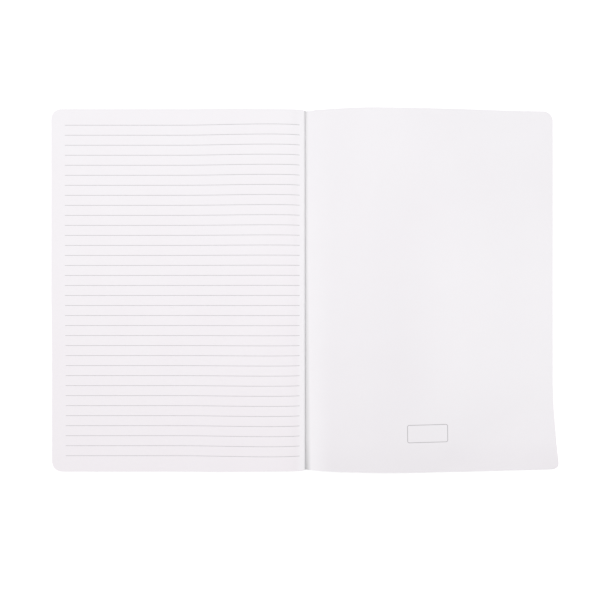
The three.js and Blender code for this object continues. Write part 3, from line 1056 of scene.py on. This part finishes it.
def staple(name, node, middle):
    line = stapleLine(middle)
    sides = stapleShape["sides"]
    points, faces = [], []
    for k, point in enumerate(line):
        ahead = line[min(k + 1, len(line) - 1)]
        behind = line[max(k - 1, 0)]
        way = (ahead - behind).normalized()
        tip = k in (0, len(line) - 1)
        radius = wireLook["diameter"] / 2 * (stapleShape["tipShare"] if tip else 1.0)
        for side in range(sides):
            angle = 2 * math.pi * side / sides
            out = radius * math.cos(angle)
            x = point.x + out * way.y + foldX
            points.append((x, point.y - out * way.x, foldHeight + radius * math.sin(angle)))
    for k in range(len(line) - 1):
        for side in range(sides):
            a = k * sides + side
            b = k * sides + (side + 1) % sides
            faces.append((a, a + sides, b + sides, b))
    faces.append(tuple(range(sides)))
    faces.append(tuple(range(len(points) - 1, len(points) - 1 - sides, -1)))
    mesh = bpy.data.meshes.new(name)
    mesh.from_pydata(points, [], faces)
    piece = newPiece(name, mesh, sharpFrom["wire"])
    piece.data.materials.append(stapleMetal)
    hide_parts(node)
    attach(piece, "page_block")


staple("stapleTail", "staple_tail", -stapleShape["fromMiddle"])
staple("stapleHead", "staple_head", stapleShape["fromMiddle"])
print("staples made")

# Plain pale floor and soft studio light
studio = {
    "floorSize": 6.0,
    "floorHeight": -0.02 * mm,
    "floorColour": (0.80, 0.80, 0.80, 1),
    "floorLift": 0.46,
    "floorFade": (0.4, 0.85),
    "skyStrength": 0.615,
    "lampEnergy": 6.2,
    "lampSize": (2.0, 0.5),
    "lampAt": (-0.1, 0.1, 0.98),
}
white = (1, 1, 1, 1)


# 1 where the camera sees the room, directly, in a gloss or through something clear
def seenByCamera(tree):
    path = wire(tree, "ShaderNodeLightPath")
    seen = calc(tree, "ADD", path.outputs["Is Camera Ray"], path.outputs["Is Glossy Ray"])
    return calc(tree, "MINIMUM", calc(tree, "ADD", seen, path.outputs["Is Transmission Ray"]), 1.0)


def makeFloor():
    half = studio["floorSize"] / 2
    mesh = bpy.data.meshes.new("floor")
    corners = ((-half, -half), (half, -half), (half, half), (-half, half))
    mesh.from_pydata([(x, y, studio["floorHeight"]) for x, y in corners], [], [(0, 1, 2, 3)])
    floor = bpy.data.objects.new("floor", mesh)
    bpy.context.scene.collection.objects.link(floor)
    material, tree = newMaterial("floorWhite")
    diffuse = wire(tree, "ShaderNodeBsdfDiffuse", {"Color": studio["floorColour"]})
    seen = seenByCamera(tree)
    lift = calc(tree, "MULTIPLY", seen, studio["floorLift"])
    glow = wire(tree, "ShaderNodeEmission", {"Strength": lift})
    lifted = wire(tree, "ShaderNodeAddShader", {0: diffuse.outputs[0], 1: glow.outputs[0]})
    # Away from the notebook the floor runs into the white of the room
    place = wire(tree, "ShaderNodeTexCoord")
    away = wire(tree, "ShaderNodeVectorMath", {0: place.outputs["Object"]}, operation="LENGTH")
    fade = ramp(tree, away.outputs["Value"], *studio["floorFade"], kind="SMOOTHSTEP")
    share = calc(tree, "MULTIPLY", fade, seen)
    plain = wire(tree, "ShaderNodeEmission", {"Strength": 1.0})
    inputs = {0: share, 1: lifted.outputs[0], 2: plain.outputs[0]}
    floorLook = wire(tree, "ShaderNodeMixShader", inputs)
    wire(tree, "ShaderNodeOutputMaterial", {"Surface": floorLook.outputs[0]})
    mesh.materials.append(material)


def makeLight():
    world = bpy.data.worlds.new("studio")
    bpy.context.scene.world = world
    world.use_nodes = True
    tree = world.node_tree
    tree.nodes.clear()
    sky = wire(tree, "ShaderNodeBackground", {"Color": white, "Strength": studio["skyStrength"]})
    backdrop = wire(tree, "ShaderNodeBackground", {"Color": white, "Strength": 1.0})
    inputs = {0: seenByCamera(tree), 1: sky.outputs[0], 2: backdrop.outputs[0]}
    both = wire(tree, "ShaderNodeMixShader", inputs)
    wire(tree, "ShaderNodeOutputWorld", {"Surface": both.outputs[0]})
    lamp = bpy.data.lights.new("softbox", "AREA")
    lamp.energy = studio["lampEnergy"]
    lamp.shape = "RECTANGLE"
    lamp.size, lamp.size_y = studio["lampSize"]
    softbox = bpy.data.objects.new("softbox", lamp)
    softbox.location = studio["lampAt"]
    bpy.context.scene.collection.objects.link(softbox)


makeFloor()
makeLight()
bpy.context.scene.view_settings.view_transform = "Standard"
print("stage lit")
